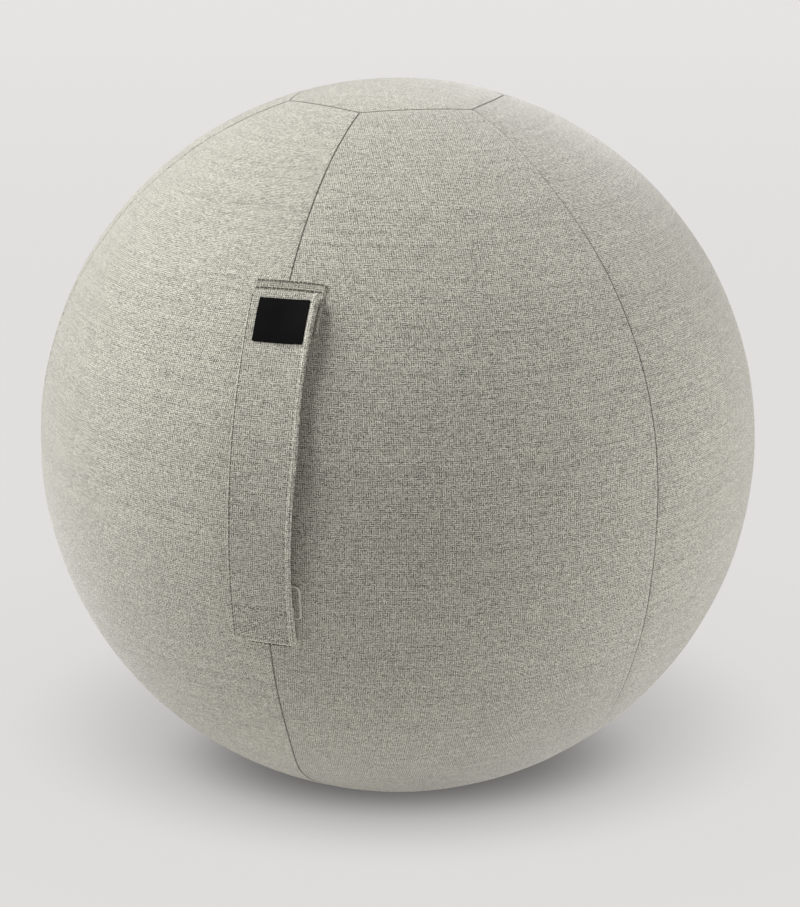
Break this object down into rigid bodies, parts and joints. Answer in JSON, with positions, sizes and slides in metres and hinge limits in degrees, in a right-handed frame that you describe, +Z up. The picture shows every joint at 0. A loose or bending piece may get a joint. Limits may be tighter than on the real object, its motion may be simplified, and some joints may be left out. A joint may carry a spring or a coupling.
{
  "type": "sitting ball",
  "caption": "Upholstered sitting ball: an inflated inner ball in a sewn cloth cover with a strap handle on one seam and a zip on the opposite seam.",
  "frame": {"origin": "middle of the flat patch that the ball rests on, at floor level", "axes": "+Z up through the ball's centre, the handle's seam faces -Y, the zip's seam faces +Y, +X to the right seen from the handle's side"},
  "size_m": [0.65, 0.6613, 0.6453],
  "materials": {
    "cover_cloth": "flecked warm grey woven cloth, matt",
    "inner_ball_vinyl": "soft vinyl, satin",
    "plug_vinyl": "moulded, satin",
    "zip_tape_cloth": "woven tape, matt",
    "zip_coil_nylon": "nylon, satin",
    "zip_metal": "gunmetal, satin",
    "label_black": "smooth black patch, slight gloss"
  },
  "bodies": {
    "ball": {"side_panel_1": "cover_cloth", "side_panel_2": "cover_cloth", "side_panel_3": "cover_cloth", "side_panel_4": "cover_cloth", "side_panel_5": "cover_cloth", "side_panel_6": "cover_cloth", "top_panel": "cover_cloth", "bottom_panel": "cover_cloth", "inner_ball": "inner_ball_vinyl", "air_plug": "plug_vinyl", "zip_tape_left": "zip_tape_cloth", "zip_tape_right": "zip_tape_cloth", "zip_coil_left": "zip_coil_nylon", "zip_coil_right": "zip_coil_nylon", "zip_stop_top": "zip_coil_nylon", "zip_stop_bottom": "zip_coil_nylon", "handle_upper_end": "cover_cloth", "handle_lower_end": "cover_cloth", "upper_patch": "cover_cloth", "lower_patch": "cover_cloth", "label": "label_black"},
    "handle": {"handle_grip": "cover_cloth"},
    "zip_slider": {"zip_slider": "zip_metal"},
    "zip_pull": {"zip_pull": "zip_metal"}
  },
  "joints": [
    {"name": "handle_lift", "type": "slide", "parent": "ball", "child": "handle", "axis": [0, -0.9841, 0.1775], "range_m": [-0.006, 0.01], "stiffness_N_per_m": 150, "deforming": ["handle_upper_end", "handle_lower_end"]},
    {"name": "zip_slide", "type": "hinge", "parent": "ball", "child": "zip_slider", "pos_m": [0, 0, 0.32031], "axis": [1, 0, 0], "range_deg": [0, 64]},
    {"name": "pull_swing", "type": "hinge", "parent": "zip_slider", "child": "zip_pull", "pos_m": [0, 0.17237, 0.04043], "axis": [1, 0, 0], "range_deg": [-54, 116]}
  ]
}
